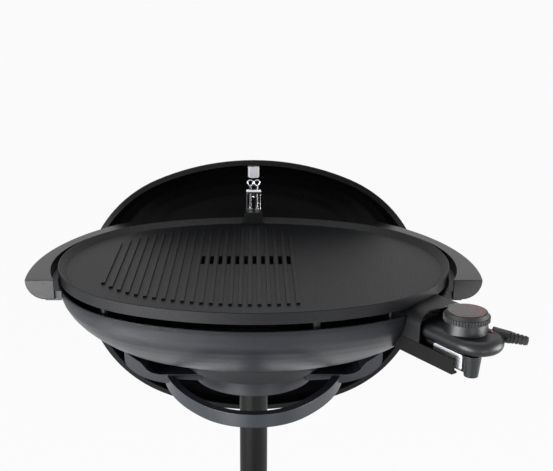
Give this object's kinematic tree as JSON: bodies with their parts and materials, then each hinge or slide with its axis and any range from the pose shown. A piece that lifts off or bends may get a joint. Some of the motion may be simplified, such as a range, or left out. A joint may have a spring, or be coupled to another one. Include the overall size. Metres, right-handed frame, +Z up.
{
  "type": "electric barbecue grill on a column stand",
  "caption": "Oval electric barbecue grill on a column stand: non-stick plate over a bowl, plug-in thermostat with a knob, and a domed lid that hangs upright behind as a wind shield.",
  "frame": {"origin": "centre of the base's middle rubber pad, on the floor under the column's axis", "axes": "+Z up along the column; +X to the right and -Y towards the cook, who faces +Y"},
  "size_m": [0.6605, 0.6274, 0.9743],
  "materials": {
    "nonstick": "dark grey non-stick coating, satin",
    "bowl_grey": "dark anthracite moulding, satin",
    "foot_grey": "anthracite moulding, satin",
    "handle_grey": "dark grey moulding, satin",
    "black_moulding": "black moulding, fine grain",
    "enamel_black": "black enamel, glossy",
    "enamel_rim": "black enamel, rubbed satin at the rim",
    "chrome": "polished chrome plating",
    "cushion_grey": "light grey heat-proof moulding",
    "bare_steel": "bare steel",
    "element_steel": "heat-tinted steel sheath",
    "ceramic": "glazed ceramic, stated as a plastic because the list has no ceramic",
    "brass": "bare brass",
    "housing_black": "black moulding, semi-matt",
    "knob_grey": "dark grey moulding, matt",
    "dial_black": "glossy black with red marks",
    "lens_red": "clear red",
    "soft_black": "black rubber",
    "tray_aluminium": "pressed aluminium",
    "tube_black": "black powder coat, semi-gloss",
    "weight_iron": "raw casting"
  },
  "bodies": {
    "stand": {"bowl": "bowl_grey", "drip_tray": "tray_aluminium", "handle_left": "handle_grey", "handle_right": "handle_grey", "handle_bracket_left": "black_moulding", "handle_bracket_right": "black_moulding", "handle_screws": "bare_steel", "bowl_ring": "bowl_grey", "table_foot": "foot_grey", "table_foot_screws": "bare_steel", "column_upper": "tube_black", "column_lower": "tube_black", "column_sleeve": "bare_steel", "column_ring": "black_moulding", "column_screws": "bare_steel", "column_socket": "black_moulding", "base_cover": "black_moulding", "base_weight": "weight_iron", "base_feet": "soft_black"},
    "plate": {"grill_plate": "nonstick", "plate_feet": "bare_steel", "heating_element": "element_steel", "element_clips": "bare_steel", "terminal_block": "ceramic", "terminal_pins": "bare_steel", "guard_plate": "bare_steel", "guard_hood": "black_moulding", "guard_tray": "black_moulding", "guard_screws": "bare_steel"},
    "lid_bracket": {"lid_bracket_block": "black_moulding", "lid_bracket_wires": "chrome", "lid_bracket_crossbar": "chrome", "lid_bracket_cushion": "cushion_grey"},
    "lid": {"lid_shell": "enamel_black", "lid_band": "enamel_rim", "lid_handle_grip": "black_moulding", "lid_handle_posts": "black_moulding", "lid_handle_screws": "bare_steel"},
    "thermostat": {"controller_cover": "housing_black", "controller_base": "housing_black", "controller_probe": "bare_steel", "controller_sockets": "brass", "indicator_lens": "lens_red", "strain_relief": "soft_black"},
    "knob": {"control_knob": "knob_grey", "knob_dial": "dial_black", "knob_shaft": "bare_steel"}
  },
  "joints": [
    {"name": "plate_lift", "type": "slide", "parent": "stand", "child": "plate", "axis": [0, 0, 1], "range_m": [0, 0.25]},
    {"name": "bracket_lift", "type": "slide", "parent": "plate", "child": "lid_bracket", "axis": [0, 0, 1], "range_m": [0, 0.12]},
    {"name": "lid_lift", "type": "slide", "parent": "lid_bracket", "child": "lid", "axis": [0, 0, 1], "range_m": [0, 0.3]},
    {"name": "thermostat_plug", "type": "slide", "parent": "plate", "child": "thermostat", "axis": [0.5592, -0.829, 0], "range_m": [0, 0.1]},
    {"name": "knob_turn", "type": "hinge", "parent": "thermostat", "child": "knob", "pos_m": [0.26865, -0.19501, 0.868], "axis": [0, 0, -1], "range_deg": [0, 270]}
  ]
}
